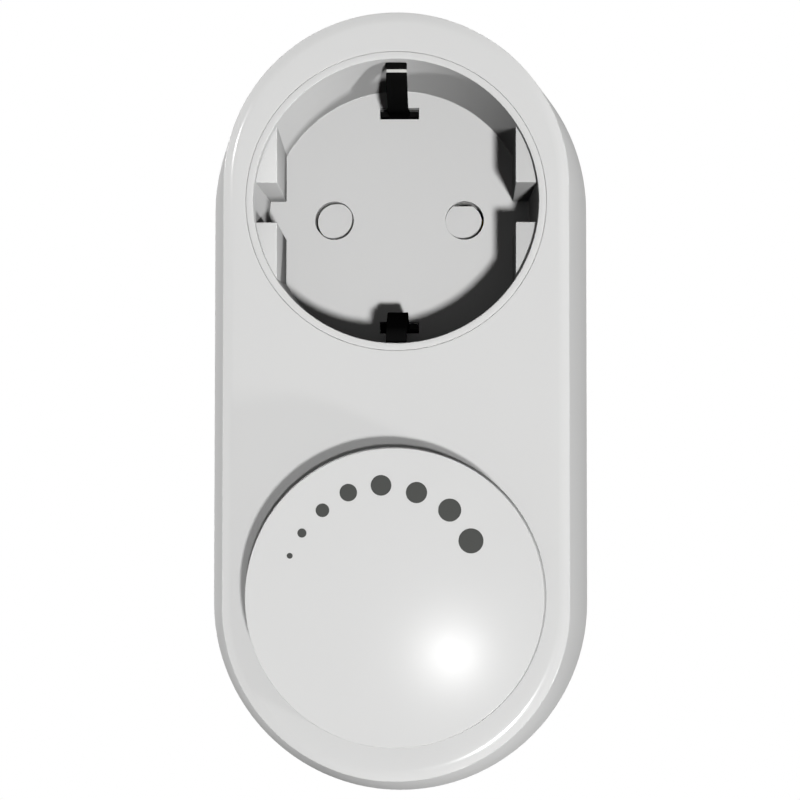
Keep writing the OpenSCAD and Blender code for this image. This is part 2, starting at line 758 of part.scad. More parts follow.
// Contact for an incoming pin: a base on the end of its well, two sprung leaves and a solder tag
module pin_contact() {
    leaf_y = well_h / 2 - leaf_t / 2 - 0.4;
    pinch = 0.15;
    grip_y = pin_r - pinch + leaf_t / 2;
    leaf_top_z = carrier_low_z - 0.6;
    lead_in = 3.6;
    grip_z = leaf_top_z - lead_in;
    leaf_w = well_w - 1.4;
    foot_len = 1.5;
    bend = 0.7;
    tag_w = 2.4;
    base_h = well_h + 2 * well_wall;
    leaf = eased([[leaf_y, contact_top_z - leaf_t / 4], [leaf_y, contact_top_z + foot_len],
        [grip_y, grip_z], [leaf_y - leaf_t / 2, leaf_top_z]], bend);
    block(well_w + 2 * well_wall, base_h, contact_low_z, contact_top_z);
    translate([-pin_x + load_pad.x, -base_h / 2 - tag_len / 2, 0])
        block(tag_w, tag_len + 2 * overlap, contact_low_z, contact_top_z);
    bent_strip(leaf, leaf_t, leaf_w);
    mirror([0, 1, 0]) bent_strip(leaf, leaf_t, leaf_w);
}

module live_contact() {
    color(brass) stand_up() translate([pin_x, 0, 0]) pin_contact();
}

module neutral_contact() {
    color(brass) stand_up() mirror([1, 0, 0]) translate([pin_x, 0, 0]) pin_contact();
}

// Earth strip: the spring clip in the recess, then a straight run through the housing to
// the contact face on the plug
module earth_strip() {
    clip_foot = 1.6;
    bend = 1.1;
    clip = eased([[clip_tip_y, face_z - clip_tip_depth], [clip_lead_y, face_z - clip_lead_depth],
        [clip_bulge_y, face_z - clip_bulge_depth], [strip_y, floor_z + clip_foot],
        [strip_y, floor_z - overlap]], bend);
    bent_strip(clip, sheet_t, clip_w);
    translate([0, strip_y, 0]) block(strip_w, sheet_t, strip_end_z, floor_z);
}

module earth_strip_top() {
    color(earth_metal) stand_up() earth_strip();
}

module earth_strip_bottom() {
    color(earth_metal) stand_up() mirror([0, 1, 0]) earth_strip();
}

// Bridge behind the carrier that joins the two earth strips
module earth_bridge() {
    color(brass) stand_up() {
        block(bridge_w, 2 * strip_in_y, carrier_low_z - sheet_t, carrier_low_z);
        for (sy = [-1, 1]) translate([0, sy * (strip_in_y - sheet_t / 2), 0])
            block(bridge_w, sheet_t, carrier_low_z - bridge_tab, carrier_low_z);
    }
}

// Plug pin: round tip, shoulder on the mating face, shank in the end wall, flange and tail
module plug_pin(tail_z) {
    tip = [for (i = [0 : arc_steps]) let (a = -90 + 90 * i / arc_steps)
        [pin_r * cos(a), -pin_len + pin_r + pin_r * sin(a)]];
    rotate_extrude() polygon(concat(tip, [[pin_r, 0], [pin_shank_r, 0],
        [pin_shank_r, plug_end_t], [pin_flange_r, plug_end_t],
        [pin_flange_r, plug_end_t + pin_flange_t], [pin_tail_r, plug_end_t + pin_flange_t],
        [pin_tail_r, tail_z], [0, tail_z]]));
}

module live_pin() {
    color(nickel) stand_up() translate([pin_x, 0, 0])
        plug_pin(live_tail_z);
}

module neutral_pin() {
    color(nickel) stand_up() translate([-pin_x, 0, 0]) plug_pin(contact_low_z);
}

// The D-shaped section of the shaft's driving end
module shaft_section(r, flat) {
    intersection() {
        circle(r = r);
        translate([-r, -r]) square([2 * r, r + flat]);
    }
}

// Knob: a shallow cap with leaning sides, stiffening ribs and a hub on the shaft
module knob() {
    lean = atan((knob_base_r - knob_face_r) / (knob_top_z - knob_low_z));
    inner_low_r = knob_base_r - knob_wall / cos(lean);
    inner_top_r = inner_low_r - (knob_roof_z - knob_low_z) * tan(lean);
    rib_t = 1.2;
    rib_low_z = knob_low_z + 1;
    color(shell_white) stand_up() translate([0, knob_y, 0]) {
        difference() {
            union() {
                rotate_extrude() polygon(concat(
                    half_outline(knob_base_r, knob_low_z, knob_face_r, knob_top_z, knob_edge_r),
                    [[inner_low_r, knob_low_z], [inner_top_r, knob_roof_z], [0, knob_roof_z]]));
                rod(knob_hub_r, hub_low_z, knob_roof_z + overlap);
                for (i = [0 : knob_ribs - 1]) rotate(360 * i / knob_ribs)
                    translate([knob_hub_r - overlap, -rib_t / 2, rib_low_z])
                        cube([inner_top_r - knob_hub_r + 2 * overlap, rib_t,
                            knob_roof_z + overlap - rib_low_z]);
            }
            translate([0, 0, hub_low_z - cut]) linear_extrude(shaft_top_z - hub_low_z + cut)
                shaft_section(shaft_r + knob_grip_gap, shaft_flat + knob_grip_gap);
        }
    }
}

// Shaft of the potentiometer, flatted where the knob grips it
module pot_shaft() {
    color(aluminium) stand_up() translate([0, knob_y, 0]) {
        rod(shaft_r, shaft_low_z, hub_low_z);
        translate([0, 0, hub_low_z - overlap]) linear_extrude(shaft_flat_len + overlap)
            shaft_section(shaft_r, shaft_flat);
    }
}

// Potentiometer body with the bush that its shaft turns in
module potentiometer() {
    terminals = [10, 7, 2];
    color(steel) stand_up() translate([0, knob_y, 0]) difference() {
        union() {
            rod(pot_r, board_top_z, pot_top_z);
            rod(pot_bush_r, pot_top_z - overlap, bush_top_z);
            translate([0, -pot_r, 0])
                block(terminals.x, terminals.y, board_top_z, board_top_z + terminals.z);
        }
        rod(shaft_r + run_gap, shaft_low_z - shaft_end_gap, bush_top_z + cut);
    }
}

// Circuit board, shaped to the lower half of the housing
module circuit_board() {
    color(board_green) stand_up() translate([0, 0, board_low_z]) linear_extrude(board_t)
        difference() {
            union() {
                translate([0, bottom_y]) circle(r = board_r);
                translate([-board_r, bottom_y]) square([2 * board_r, board_top_y - bottom_y]);
            }
            at_each(case_screws_at) circle(r = boss_r + board_boss_gap);
            at_each(board_screws_at) circle(r = board_screw_r + fit_gap);
        }
}

// Toroidal choke lying on the back of the board
module choke() {
    ease = 1.4;
    wire_turns = 24;
    groove_r = 0.5;
    outline = [[choke_hole_r + ease, 0], [choke_r - ease, 0], [choke_r, ease],
        [choke_r, choke_h - ease], [choke_r - ease, choke_h], [choke_hole_r + ease, choke_h],
        [choke_hole_r, choke_h - ease], [choke_hole_r, ease]];
    color([0.72, 0.42, 0.2]) stand_up() translate([choke_at.x, choke_at.y, board_low_z - choke_h])
        difference() {
            rotate_extrude() polygon(outline);
            for (i = [0 : wire_turns - 1]) rotate(360 * i / wire_turns)
                translate([choke_r + groove_r / 2, 0, ease])
                    cylinder(r = groove_r, h = choke_h - 2 * ease, $fn = 16);
        }
}

// Film capacitor
module film_capacitor() {
    color([0.75, 0.6, 0.12]) stand_up() translate([film_cap_at.x, film_cap_at.y, 0])
        block(film_cap.x, film_cap.y, board_low_z - film_cap.z, board_low_z);
}

// Filter capacitor: a can with a crimped neck
module filter_capacitor() {
    color([0.2, 0.25, 0.4]) stand_up() translate([can_at.x, can_at.y, board_low_z])
        rotate_extrude() polygon([[0, 0], [can_r, 0], [can_r, -can_neck_at],
            [can_r - can_neck, -can_neck_at - can_ease], [can_r - can_neck, -can_neck_at - 2 * can_ease],
            [can_r, -can_neck_at - 3 * can_ease], [can_r, -can_h + can_ease], [can_r - can_ease, -can_h],
            [0, -can_h]]);
}

// Fuse: a tube between two end caps
module fuse() {
    cap_step = 0.3;
    color([0.8, 0.82, 0.8]) stand_up()
        translate([fuse_at.x - fuse_len / 2, fuse_at.y, fuse_z])
            rotate([0, 90, 0]) {
                cylinder(r = fuse_r - cap_step, h = fuse_len);
                cylinder(r = fuse_r, h = fuse_cap_len);
                translate([0, 0, fuse_len - fuse_cap_len]) cylinder(r = fuse_r, h = fuse_cap_len);
            }
}

// Clips that hold the fuse's end caps on the board
module fuse_clips() {
    color(brass) stand_up() for (sx = [-1, 1])
        translate([fuse_at.x + sx * (fuse_len - fuse_cap_len) / 2, fuse_at.y, 0]) {
            block(fuse_clip_len, 2 * (fuse_r + clip_t), board_low_z - clip_t, board_low_z);
            for (sy = [-1, 1]) translate([0, sy * (fuse_r + clip_t / 2), 0])
                block(fuse_clip_len, clip_t, fuse_z - fuse_clip_past, board_low_z);
        }
}

// Power transistor, standing with its tab against the heat sink
module transistor() {
    tab_h = sink_h - 0.5;
    tab_y = sink_at.y - sink_t / 2;
    mid_y = tab_y - transistor_size.y / 2;
    lead = [0.8, 0.5];
    color(moulding_black) stand_up() {
        translate([sink_at.x, mid_y, 0])
            block(transistor_size.x, transistor_size.y, board_low_z - transistor_size.z, leads_z);
        translate([sink_at.x, tab_y - tab_t / 2, 0])
            block(transistor_size.x, tab_t, board_low_z - tab_h, leads_z);
        for (i = [-1 : 1]) translate([sink_at.x + lead_pitch * i, mid_y, 0])
            block(lead.x, lead.y, leads_z - overlap, board_low_z);
    }
}

// Heat sink: an upright plate with fins
module heat_sink() {
    step = (sink_w - sink_t) / (fin_count - 1);
    fin_foot_gap = 1;
    color(aluminium) stand_up() translate([sink_at.x, sink_at.y, 0]) {
        block(sink_w, sink_t, board_low_z - sink_h, board_low_z);
        for (i = [0 : fin_count - 1])
            translate([(sink_t - sink_w) / 2 + step * i, (sink_t + fin_reach - overlap) / 2, 0])
                block(sink_t, fin_reach + overlap, board_low_z - sink_h, board_low_z - fin_foot_gap);
    }
}

// Wire from the live pin to the board
module live_wire() {
    color([0.45, 0.27, 0.15]) stand_up()
        tube(eased([[pin_x, 0, live_tail_z], [pin_x, 0, live_tail_z + wire_rise],
            [live_pad.x, live_bend_y, live_tail_z + wire_rise],
            [live_pad.x, live_bend_y, inner_back_z + wire_rise],
            [live_pad.x, live_pad.y, board_low_z - wire_rise],
            [live_pad.x, live_pad.y, board_low_z]], wire_bend, wire_bend_steps), wire_r, wire_sides);
}

// Wire from the live contact's solder tag to the board
module load_wire() {
    color([0.1, 0.1, 0.11]) stand_up()
        tube(eased([[load_pad.x, tag_wire_y, contact_top_z],
            [load_pad.x, tag_wire_y, inner_back_z + wire_rise],
            [load_pad.x, load_pad.y, board_low_z - wire_rise],
            [load_pad.x, load_pad.y, board_low_z]], wire_bend, wire_bend_steps), wire_r, wire_sides);
}

// Screws that hold the board on its posts
module board_screws() {
    color(steel) stand_up() at_each(board_screws_at) {
        rod(board_screw_r, board_low_z - overlap, board_top_z + board_bite);
        rod(board_head_r, board_low_z - board_head_h, board_low_z);
    }
}

// Screws that hold the two shells together
module case_screws() {
    slot_len = 2.6;
    cross_w = 0.7;
    cross_depth = 1.1;
    head_z = head_seat_z - screw_head_h;
    color(steel) stand_up() at_each(case_screws_at) difference() {
        union() {
            rod(screw_r, head_seat_z - overlap, screw_top_z);
            rod(screw_head_r, head_z, head_seat_z);
        }
        for (a = [0, 90]) rotate(a)
            block(slot_len, cross_w, head_z - cut, head_z + cross_depth);
    }
}

front_cover();
rear_cover();
socket_cup();
shutter();
shutter_spring();
contact_carrier();
live_contact();
neutral_contact();
earth_strip_top();
earth_strip_bottom();
earth_bridge();
live_pin();
neutral_pin();
knob();
pot_shaft();
potentiometer();
circuit_board();
choke();
film_capacitor();
filter_capacitor();
fuse();
fuse_clips();
transistor();
heat_sink();
live_wire();
load_wire();
board_screws();
case_screws();
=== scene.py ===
import math

import bmesh
import bpy
from mathutils import Matrix, Vector


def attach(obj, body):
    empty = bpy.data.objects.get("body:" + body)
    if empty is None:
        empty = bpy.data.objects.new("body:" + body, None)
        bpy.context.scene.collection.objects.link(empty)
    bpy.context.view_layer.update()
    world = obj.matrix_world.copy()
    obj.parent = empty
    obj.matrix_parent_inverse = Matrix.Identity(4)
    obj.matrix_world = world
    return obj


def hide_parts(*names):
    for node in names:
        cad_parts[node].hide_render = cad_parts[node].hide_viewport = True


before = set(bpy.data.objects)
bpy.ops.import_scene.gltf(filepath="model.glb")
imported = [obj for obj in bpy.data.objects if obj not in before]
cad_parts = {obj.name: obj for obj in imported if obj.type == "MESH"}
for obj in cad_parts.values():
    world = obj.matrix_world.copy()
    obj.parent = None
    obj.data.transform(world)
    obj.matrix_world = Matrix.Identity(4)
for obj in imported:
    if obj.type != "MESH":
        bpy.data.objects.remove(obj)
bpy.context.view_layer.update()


# Rear shell and plug: one white thermoplastic moulding, matt from the eroded skin of its tool.
# The plug stands out of its back, and a tongue round its edge slides into the front shell.
SHELL_WHITE = (0.71, 0.71, 0.705, 1)
SHELL_SHADE = (0.685, 0.685, 0.68, 1)
CLOUD_SCALE = 45
RUB_SCALE = 160
FINE_GRAIN = 6000
GRAIN_DEPTH = 0.000001
RELIEF_STRENGTH = 0.5
NOISE_LOW = 0.3
NOISE_HIGH = 0.7
MIX_FACTOR = 0
MIX_FIRST = 6
MIX_SECOND = 7
MIX_RESULT = 2
COLOUR = "NodeSocketColor"
NUMBER = "NodeSocketFloat"
FINISH_OUT = [("Colour", COLOUR), ("Roughness", NUMBER), ("Height", NUMBER)]


def new_group(name, inputs, outputs):
    """Starts a node group with named sockets and gives it with its two end nodes."""
    group = bpy.data.node_groups.new(name, "ShaderNodeTree")
    for label, kind in inputs:
        group.interface.new_socket(label, in_out="INPUT", socket_type=kind)
    for label, kind in outputs:
        group.interface.new_socket(label, in_out="OUTPUT", socket_type=kind)
    return group, group.nodes.new("NodeGroupInput"), group.nodes.new("NodeGroupOutput")


def noise_in(group, scale, detail):
    """Adds a noise texture to a group and gives it."""
    noise = group.nodes.new("ShaderNodeTexNoise")
    noise.inputs["Scale"].default_value = scale
    noise.inputs["Detail"].default_value = detail
    return noise


def blend_colours(group, factor, first, second):
    """Mixes two colours of a group by a factor and gives the mixed colour."""
    mix = group.nodes.new("ShaderNodeMix")
    mix.data_type = "RGBA"
    group.links.new(factor, mix.inputs[MIX_FACTOR])
    group.links.new(first, mix.inputs[MIX_FIRST])
    group.links.new(second, mix.inputs[MIX_SECOND])
    return mix.outputs[MIX_RESULT]


def spread(group, value, low, high):
    """Spreads a noise value between two inputs of a group."""
    span = group.nodes.new("ShaderNodeMapRange")
    span.inputs["From Min"].default_value = NOISE_LOW
    span.inputs["From Max"].default_value = NOISE_HIGH
    group.links.new(value, span.inputs["Value"])
    group.links.new(low, span.inputs["To Min"])
    group.links.new(high, span.inputs["To Max"])
    return span.outputs["Result"]


moulded_skin, skin_in, skin_out = new_group(
    "moulded_skin",
    [("Colour", COLOUR), ("Shade", COLOUR), ("Smooth", NUMBER), ("Rough", NUMBER), ("Grain", NUMBER)],
    FINISH_OUT,
)
skin_place = moulded_skin.nodes.new("ShaderNodeTexCoord")
skin_cloud = noise_in(moulded_skin, CLOUD_SCALE, 3)
skin_rub = noise_in(moulded_skin, RUB_SCALE, 1)
skin_grain = noise_in(moulded_skin, FINE_GRAIN, 2)
for noise in (skin_cloud, skin_rub, skin_grain):
    moulded_skin.links.new(skin_place.outputs["Object"], noise.inputs["Vector"])
moulded_skin.links.new(skin_in.outputs["Grain"], skin_grain.inputs["Scale"])
skin_colour = blend_colours(
    moulded_skin, skin_cloud.outputs["Fac"], skin_in.outputs["Colour"], skin_in.outputs["Shade"],
)
skin_roughness = spread(
    moulded_skin, skin_rub.outputs["Fac"], skin_in.outputs["Smooth"], skin_in.outputs["Rough"],
)
moulded_skin.links.new(skin_colour, skin_out.inputs["Colour"])
moulded_skin.links.new(skin_roughness, skin_out.inputs["Roughness"])
moulded_skin.links.new(skin_grain.outputs["Fac"], skin_out.inputs["Height"])


def finish_from(name, group, values, depth):
    """Makes a material whose colour, roughness and fine relief come from a finish group."""
    material = bpy.data.materials.new(name)
    material.use_nodes = True
    tree = material.node_tree
    shader = tree.nodes["Principled BSDF"]
    finish = tree.nodes.new("ShaderNodeGroup")
    finish.node_tree = group
    for label, value in values.items():
        finish.inputs[label].default_value = value
    relief = tree.nodes.new("ShaderNodeBump")
    relief.inputs["Strength"].default_value = RELIEF_STRENGTH
    relief.inputs["Distance"].default_value = depth
    tree.links.new(finish.outputs["Colour"], shader.inputs["Base Color"])
    tree.links.new(finish.outputs["Roughness"], shader.inputs["Roughness"])
    tree.links.new(finish.outputs["Height"], relief.inputs["Height"])
    tree.links.new(relief.outputs["Normal"], shader.inputs["Normal"])
    return material, shader


def moulded_plastic(name, colour, shade, smooth, rough, grain=FINE_GRAIN, gloss=0.4):
    """Injection-moulded plastic: a faint cloud in its colour, a rubbed gloss and a fine grain."""
    values = {"Colour": colour, "Shade": shade, "Smooth": smooth, "Rough": rough, "Grain": grain}
    material, shader = finish_from(name, moulded_skin, values, GRAIN_DEPTH)
    shader.inputs["Specular IOR Level"].default_value = gloss
    return material


def dress(material, *nodes):
    """Gives CAD nodes that keep their own shape a finish."""
    for node in nodes:
        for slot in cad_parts[node].material_slots:
            slot.material = material


shell_white = moulded_plastic("shell_white", SHELL_WHITE, SHELL_SHADE, 0.5, 0.56, gloss=0.0)
dress(shell_white, "rear_cover")


# Plug pins: round brass pins, turned with a hemispherical tip and plated with nickel.
# Each is pressed through the plug's end wall, shouldered on both sides, with a solder tail.
MM = 0.001
PIN_X = 9.5
PIN_R = 2.4
PIN_LENGTH = 19
TIP_EASE = 2.38
NECK_R = 2.0
PLUG_WALL = 3
COLLAR_R = 3.5
COLLAR_BACK = 4.2
TAIL_R = 1.5
LIVE_TAIL = 8.2
NEUTRAL_TAIL = 14.6
TAIL_EASE = 0.2
TURNED_EASE = 0.1
PIN_OUTLINE = [
    (0, -PIN_LENGTH, 0),
    (PIN_R, -PIN_LENGTH, TIP_EASE),
    (PIN_R, 0, TURNED_EASE),
    (NECK_R, 0, 0),
    (NECK_R, PLUG_WALL, 0),
    (COLLAR_R, PLUG_WALL, TURNED_EASE),
    (COLLAR_R, COLLAR_BACK, TURNED_EASE),
    (TAIL_R, COLLAR_BACK, 0),
]
PIN_STEPS = 64
NICKEL = (0.62, 0.6, 0.56, 1)
NICKEL_SHADE = (0.5, 0.48, 0.44, 1)
LINES_SCALE = 900
BLOOM_SCALE = 120
LINES_DEPTH = 0.000003
LEAST_ARC_STEPS = 4
ARC_STEPS_PER_MM = 6
MERGE = 0.002
SHARP_ANGLE = 32

drawn_metal, metal_in, metal_out = new_group(
    "drawn_metal",
    [
        ("Colour", COLOUR),
        ("Shade", COLOUR),
        ("Smooth", NUMBER),
        ("Rough", NUMBER),
        ("Stretch", "NodeSocketVector"),
    ],
    FINISH_OUT,
)
metal_place = drawn_metal.nodes.new("ShaderNodeTexCoord")
metal_lay = drawn_metal.nodes.new("ShaderNodeMapping")
metal_lines = noise_in(drawn_metal, LINES_SCALE, 4)
metal_bloom = noise_in(drawn_metal, BLOOM_SCALE, 3)
drawn_metal.links.new(metal_place.outputs["Object"], metal_lay.inputs["Vector"])
drawn_metal.links.new(metal_in.outputs["Stretch"], metal_lay.inputs["Scale"])
drawn_metal.links.new(metal_lay.outputs["Vector"], metal_lines.inputs["Vector"])
drawn_metal.links.new(metal_place.outputs["Object"], metal_bloom.inputs["Vector"])
metal_colour = blend_colours(
    drawn_metal, metal_bloom.outputs["Fac"], metal_in.outputs["Colour"], metal_in.outputs["Shade"],
)
metal_roughness = spread(
    drawn_metal, metal_lines.outputs["Fac"], metal_in.outputs["Smooth"], metal_in.outputs["Rough"],
)
drawn_metal.links.new(metal_colour, metal_out.inputs["Colour"])
drawn_metal.links.new(metal_roughness, metal_out.inputs["Roughness"])
drawn_metal.links.new(metal_lines.outputs["Fac"], metal_out.inputs["Height"])


def worked_metal(name, colour, shade, smooth, rough, stretch, metallic=1.0, gloss=0.5):
    """Drawn, rolled or turned metal: fine lines along the work and a faint bloom."""
    values = {"Colour": colour, "Shade": shade, "Smooth": smooth, "Rough": rough, "Stretch": stretch}
    material, shader = finish_from(name, drawn_metal, values, LINES_DEPTH)
    shader.inputs["Metallic"].default_value = metallic
    shader.inputs["Specular IOR Level"].default_value = gloss
    return material


def draw_outline(bm, corners):
    """Draws an open outline of (radius, depth, ease) corners beside the axis and rounds each one."""
    drawn = set(bm.edges)
    verts = [bm.verts.new((radius, -depth, 0)) for radius, depth, ease in corners]
    for pair in zip(verts, verts[1:]):
        bm.edges.new(pair)
    for vert, (radius, depth, ease) in zip(verts, corners):
        if ease:
            bmesh.ops.bevel(
                bm, geom=[vert], offset=ease, offset_type="OFFSET", profile=0.5,
                segments=max(LEAST_ARC_STEPS, int(ease * ARC_STEPS_PER_MM)),
                affect="VERTICES", material=-1,
            )
    return [edge for edge in bm.edges if edge not in drawn]


def corners_of(edges):
    """The vertices that a list of edges joins."""
    return list({vert for edge in edges for vert in edge.verts})


def turn(bm, corners, centre=(0, 0), steps=128):
    """Spins an outline once round an axis along Y through a centre in x and z."""
    edges = draw_outline(bm, corners)
    verts = corners_of(edges)
    bmesh.ops.translate(bm, vec=(centre[0], 0, centre[1]), verts=verts)
    bmesh.ops.spin(
        bm, geom=verts + edges, cent=(centre[0], 0, centre[1]), axis=(0, 1, 0), angle=math.tau,
        steps=steps, use_merge=True,
    )


def make_piece(bm, name, material, sharp=SHARP_ANGLE):
    """Closes a bmesh drawn in millimetres into a piece at the origin with smooth rounded faces."""
    bmesh.ops.remove_doubles(bm, verts=bm.verts, dist=MERGE)
    bmesh.ops.recalc_face_normals(bm, faces=bm.faces)
    bmesh.ops.scale(bm, vec=(MM, MM, MM), verts=bm.verts)
    for face in bm.faces:
        face.smooth = True
    mesh = bpy.data.meshes.new(name)
    bm.to_mesh(mesh)
    bm.free()
    mesh.set_sharp_from_angle(angle=math.radians(sharp))
    mesh.materials.append(material)
    piece = bpy.data.objects.new(name, mesh)
    bpy.context.scene.collection.objects.link(piece)
    return piece


pin_nickel = worked_metal("pin_nickel", NICKEL, NICKEL_SHADE, 0.16, 0.3, stretch=(1, 6, 1))
for name, x, tail in (("live_pin", PIN_X, LIVE_TAIL), ("neutral_pin", -PIN_X, NEUTRAL_TAIL)):
    bm = bmesh.new()
    turn(bm, PIN_OUTLINE + [(TAIL_R, tail, TAIL_EASE), (0, tail, 0)], (x, 0), PIN_STEPS)
    pin = make_piece(bm, "turned_" + name, pin_nickel)
    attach(pin, "housing")
    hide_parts(name)


# Earth strips: spring sheet, punched and folded, one at the top and one at the bottom.
# Each runs from the plug's side, where it is plated, through the cup's floor to a bent clip in the
# recess, painted near black as a painted dark reflection; the top clip has a painted highlight line.
STRIP_T = 0.8
STRIP_W = 5.5
STRIP_Z = 15.6
STRIP_FRONT = 35.1
STRIP_BACK = 0.6
STRIP_EASE = 0.12
CUT_EDGE_ANGLE = 50
CLIP_W = 2.9
CLIP_BEND = 1.1
CLIP_PATH = [
    (19.4, 50.8, 0),
    (18.1, 51.1, CLIP_BEND),
    (14.6, 43.2, CLIP_BEND),
    (STRIP_Z, 36.7, CLIP_BEND),
    (STRIP_Z, STRIP_FRONT, 0),
]
# Painted highlight: a bright band across the top clip's bend where a highlight line falls; the bottom
# clip has none.
HIGHLIGHT_LINE_Z = 18.3
HIGHLIGHT_LINE_W = 0.2
PLATED_FROM = 18.0
# Painted dark reflection: the clips are nickel-plated, but are coloured near black for the dark
# surroundings they reflect.
CLIP_PAINTED_DARK_REFLECTION = (0.004, 0.004, 0.004, 1)
CLIP_PAINTED_DARK_REFLECTION_TONE = (0.007, 0.007, 0.007, 1)
PAINTED_HIGHLIGHT = (0.62, 0.62, 0.6, 1)

# This group paints the highlight band on the top clip's bend and the real nickel plating on the strip's
# tail.
strip_highlight_and_plating, highlight_plating_in, highlight_plating_out = new_group(
    "strip_highlight_and_plating",
    [("Colour", COLOUR), ("Bright", COLOUR), ("Plated", COLOUR)],
    [("Colour", COLOUR), ("Metal", NUMBER)],
)
highlight_plating_place = strip_highlight_and_plating.nodes.new("ShaderNodeTexCoord")
highlight_plating_axes = strip_highlight_and_plating.nodes.new("ShaderNodeSeparateXYZ")
# Mask of the painted highlight band, at the height of the top clip's bend.
painted_highlight_band = strip_highlight_and_plating.nodes.new("ShaderNodeMath")
painted_highlight_band.operation = "COMPARE"
painted_highlight_band.inputs[1].default_value = HIGHLIGHT_LINE_Z * MM
painted_highlight_band.inputs[2].default_value = HIGHLIGHT_LINE_W * MM
plated_tail = strip_highlight_and_plating.nodes.new("ShaderNodeMath")
plated_tail.operation = "GREATER_THAN"
plated_tail.inputs[1].default_value = -PLATED_FROM * MM
strip_highlight_and_plating.links.new(highlight_plating_place.outputs["Object"], highlight_plating_axes.inputs["Vector"])
strip_highlight_and_plating.links.new(highlight_plating_axes.outputs["Z"], painted_highlight_band.inputs[0])
strip_highlight_and_plating.links.new(highlight_plating_axes.outputs["Y"], plated_tail.inputs[0])
with_painted_highlight = blend_colours(
    strip_highlight_and_plating, painted_highlight_band.outputs["Value"], highlight_plating_in.outputs["Colour"], highlight_plating_in.outputs["Bright"],
)
plated = blend_colours(strip_highlight_and_plating, plated_tail.outputs["Value"], with_painted_highlight, highlight_plating_in.outputs["Plated"])
strip_highlight_and_plating.links.new(plated, highlight_plating_out.inputs["Colour"])
strip_highlight_and_plating.links.new(plated_tail.outputs["Value"], highlight_plating_out.inputs["Metal"])

# The clip's base colour is the near-black painted dark reflection; the group below adds a painted
# highlight and the plated tail.
earth_metal = worked_metal(
    "earth_metal", CLIP_PAINTED_DARK_REFLECTION, CLIP_PAINTED_DARK_REFLECTION_TONE, 0.24, 0.32, stretch=(6, 1, 1), metallic=0.0, gloss=0.0,
)
earth_tree = earth_metal.node_tree
earth_highlight_and_plating = earth_tree.nodes.new("ShaderNodeGroup")
earth_highlight_and_plating.node_tree = strip_highlight_and_plating
earth_highlight_and_plating.inputs["Bright"].default_value = PAINTED_HIGHLIGHT
earth_highlight_and_plating.inputs["Plated"].default_value = NICKEL_SHADE
earth_shader = earth_tree.nodes["Principled BSDF"]
earth_colour = earth_shader.inputs["Base Color"].links[0].from_socket
earth_tree.links.new(earth_colour, earth_highlight_and_plating.inputs["Colour"])
earth_tree.links.new(earth_highlight_and_plating.outputs["Colour"], earth_shader.inputs["Base Color"])
earth_tree.links.new(earth_highlight_and_plating.outputs["Metal"], earth_shader.inputs["Metallic"])


def pull(bm, edges, way):
    """Pulls edges out along a vector into new faces and gives the edges at the far end."""
    pulled = bmesh.ops.extrude_edge_only(bm, edges=edges)["geom"]
    verts = {item for item in pulled if isinstance(item, bmesh.types.BMVert)}
    bmesh.ops.translate(bm, vec=way, verts=list(verts))
    return [
        item for item in pulled
        if isinstance(item, bmesh.types.BMEdge) and verts.issuperset(item.verts)
    ]


def draw_sheet(bm, path, xs):
    """Draws a path of (height, depth, ease) corners and pulls it sideways through the given xs."""
    edges = draw_outline(bm, path)
    upright = Matrix.Rotation(-math.pi / 2, 3, "Y")
    bmesh.ops.rotate(bm, cent=(0, 0, 0), matrix=upright, verts=corners_of(edges))
    bmesh.ops.translate(bm, vec=(xs[0], 0, 0), verts=corners_of(edges))
    for start, end in zip(xs, xs[1:]):
        edges = pull(bm, edges, (end - start, 0, 0))


def thicken(piece, thickness, soft):
    """Gives a pressed sheet its thickness and its soft cut edges."""
    wall = piece.modifiers.new("sheet", "SOLIDIFY")
    wall.thickness = thickness * MM
    wall.offset = 0
    edge = piece.modifiers.new("cut_edge", "BEVEL")
    edge.width = soft * MM
    edge.segments = 2
    edge.limit_method = "ANGLE"
    edge.angle_limit = math.radians(CUT_EDGE_ANGLE)
    edge.harden_normals = True


for name, side in (("earth_strip_top", 1), ("earth_strip_bottom", -1)):
    bm = bmesh.new()
    draw_sheet(bm, CLIP_PATH, (-CLIP_W / 2, CLIP_W / 2))
    draw_sheet(
        bm, [(STRIP_Z, STRIP_FRONT, 0), (STRIP_Z, STRIP_BACK, 0)],
        (-STRIP_W / 2, -CLIP_W / 2, CLIP_W / 2, STRIP_W / 2),
    )
    bmesh.ops.scale(bm, vec=(1, 1, side), verts=bm.verts)
    strip = make_piece(bm, "pressed_" + name, earth_metal, sharp=180)
    thicken(strip, STRIP_T, STRIP_EASE)
    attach(strip, "housing")
    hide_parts(name)


# Contacts, earth bridge and fuse clips: brass sheet, punched and folded, left bright.
# The two contacts stand in wells of the carrier; the bridge joins the earth strips behind it.
BRASS = (0.6, 0.4, 0.13, 1)
BRASS_SHADE = (0.48, 0.3, 0.1, 1)
contact_brass = worked_metal("contact_brass", BRASS, BRASS_SHADE, 0.22, 0.38, stretch=(1, 8, 1))
dress(contact_brass, "live_contact", "neutral_contact", "earth_bridge", "fuse_clips")


# Contact carrier: a thick heat-proof moulding, grey, matt, with wells for the contacts.
# Pillars of the rear shell press it forward against the back of the socket cup.
CARRIER_GREY = (0.33, 0.33, 0.32, 1)
CARRIER_SHADE = (0.27, 0.27, 0.26, 1)
carrier_grey = moulded_plastic("carrier_grey", CARRIER_GREY, CARRIER_SHADE, 0.45, 0.6, grain=3000)
dress(carrier_grey, "contact_carrier")


